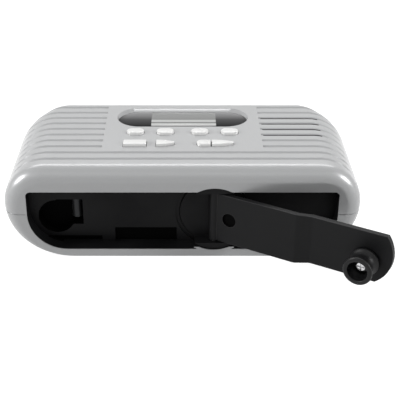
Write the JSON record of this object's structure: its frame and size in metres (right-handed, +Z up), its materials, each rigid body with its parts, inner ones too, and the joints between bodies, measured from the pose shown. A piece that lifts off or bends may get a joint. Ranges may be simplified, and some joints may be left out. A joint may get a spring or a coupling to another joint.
{
  "type": "emergency radio",
  "caption": "Palm-held emergency radio with a ribbed rounded case, lens-shaped display, white keys, a folding dynamo crank in a front recess and a telescopic aerial.",
  "frame": {"origin": "middle of the flat back on which the radio lies", "axes": "+X along the radio's length to the right, +Y away from the crank side, +Z up out of the key face"},
  "size_m": [0.1998, 0.1397, 0.0535],
  "materials": {
    "silver_plastic": "satin silver paint",
    "black_plastic": "satin",
    "white_key": "gloss",
    "lens": "polished, smoke tinted",
    "display": "satin",
    "board": "satin",
    "steel": "plated",
    "brass": "turned",
    "white_gear": "satin",
    "magnet": "matte",
    "paper": "matte",
    "copper": "enamelled",
    "chrome": "polished",
    "cell": "sleeved",
    "pack": "sleeve"
  },
  "bodies": {
    "case": {"top_cover": "silver_plastic", "bottom_cover": "silver_plastic", "crank_tub": "black_plastic", "pocket_peg": "silver_plastic", "display_window": "lens", "display_panel": "display", "display_holder": "white_gear", "main_board": "board", "board_screws": "steel", "key_switches": "black_plastic", "speaker_frame": "steel", "speaker_magnet": "magnet", "speaker_cone": "paper", "speaker_gauze": "paper", "speaker_screws": "steel", "front_bush": "brass", "rear_bush": "brass", "idler_pin": "steel", "generator_can": "steel", "generator_coil": "copper", "gearbox_plate": "black_plastic", "gearbox_screws": "steel", "battery_cell_1": "cell", "battery_cell_2": "cell", "battery_cell_3": "cell", "battery_contacts": "steel", "battery_door": "silver_plastic", "backup_battery": "pack", "ferrite_rod": "magnet", "aerial_coil": "copper", "antenna_pin": "steel", "earphone_jack": "black_plastic", "case_screws": "steel"},
    "crank": {"crank_hub": "black_plastic", "shaft_clip": "steel", "hinge_pin": "steel", "crank_gear": "white_gear"},
    "arm": {"crank_arm": "black_plastic", "knob_screw": "chrome"},
    "knob": {"crank_knob": "black_plastic"},
    "idler": {"idler_gear": "white_gear"},
    "rotor_body": {"rotor": "magnet"},
    "antenna": {"antenna_base": "chrome", "antenna_tube_1": "chrome"},
    "antenna_second": {"antenna_tube_2": "chrome"},
    "antenna_third": {"antenna_tube_3": "chrome"},
    "antenna_tip": {"antenna_rod": "chrome"},
    "key_oval_1": {"key_oval_1": "white_key"},
    "key_oval_2": {"key_oval_2": "white_key"},
    "key_oval_3": {"key_oval_3": "white_key"},
    "key_oval_4": {"key_oval_4": "white_key"},
    "key_wide": {"key_wide": "white_key"},
    "key_arrow": {"key_arrow": "white_key"},
    "key_tune_down": {"key_tune_down": "white_key"},
    "key_tune_up": {"key_tune_up": "white_key"}
  },
  "joints": [
    {"name": "crank_turn", "type": "hinge", "parent": "case", "child": "crank", "pos_m": [0.017, -0.034, 0.0225], "axis": [0, 1, 0], "range_deg": [-720, 720]},
    {"name": "arm_fold", "type": "hinge", "parent": "crank", "child": "arm", "pos_m": [0.017, -0.038, 0.0225], "axis": [0, 0, -1], "range_deg": [0, 150]},
    {"name": "knob_spin", "type": "hinge", "parent": "arm", "child": "knob", "pos_m": [0.09061, -0.0805, 0.01965], "axis": [-0.5, -0.866, 0], "continuous": true},
    {"name": "idler_spin", "type": "hinge", "parent": "case", "child": "idler", "pos_m": [-0.0054, -0.028, 0.0225], "axis": [0, 1, 0], "continuous": true},
    {"name": "rotor_spin", "type": "hinge", "parent": "case", "child": "rotor_body", "pos_m": [-0.0254, -0.012, 0.0225], "axis": [0, 1, 0], "continuous": true},
    {"name": "antenna_tilt", "type": "hinge", "parent": "case", "child": "antenna", "pos_m": [0.062, 0.043, 0.034], "axis": [0, 0, -1], "range_deg": [0, 90]},
    {"name": "antenna_slide_1", "type": "slide", "parent": "antenna", "child": "antenna_second", "axis": [-1, 0, 0], "range_m": [0, 0.098]},
    {"name": "antenna_slide_2", "type": "slide", "parent": "antenna_second", "child": "antenna_third", "axis": [-1, 0, 0], "range_m": [0, 0.098]},
    {"name": "antenna_slide_3", "type": "slide", "parent": "antenna_third", "child": "antenna_tip", "axis": [-1, 0, 0], "range_m": [0, 0.098]},
    {"name": "key_oval_1_press", "type": "slide", "parent": "case", "child": "key_oval_1", "axis": [0, 0, -1], "range_m": [0, 0.0008], "stiffness_N_per_m": 250},
    {"name": "key_oval_2_press", "type": "slide", "parent": "case", "child": "key_oval_2", "axis": [0, 0, -1], "range_m": [0, 0.0008], "stiffness_N_per_m": 250},
    {"name": "key_oval_3_press", "type": "slide", "parent": "case", "child": "key_oval_3", "axis": [0, 0, -1], "range_m": [0, 0.0008], "stiffness_N_per_m": 250},
    {"name": "key_oval_4_press", "type": "slide", "parent": "case", "child": "key_oval_4", "axis": [0, 0, -1], "range_m": [0, 0.0008], "stiffness_N_per_m": 250},
    {"name": "key_wide_press", "type": "slide", "parent": "case", "child": "key_wide", "axis": [0, 0, -1], "range_m": [0, 0.0008], "stiffness_N_per_m": 250},
    {"name": "key_arrow_press", "type": "slide", "parent": "case", "child": "key_arrow", "axis": [0, 0, -1], "range_m": [0, 0.0008], "stiffness_N_per_m": 250},
    {"name": "key_tune_down_press", "type": "slide", "parent": "case", "child": "key_tune_down", "axis": [0, 0, -1], "range_m": [0, 0.0008], "stiffness_N_per_m": 250},
    {"name": "key_tune_up_press", "type": "slide", "parent": "case", "child": "key_tune_up", "axis": [0, 0, -1], "range_m": [0, 0.0008], "stiffness_N_per_m": 250}
  ],
  "couplings": [
    {"joint": "idler_spin", "follows": "crank_turn", "ratio": -3.6667},
    {"joint": "rotor_spin", "follows": "crank_turn", "ratio": 14.667}
  ]
}
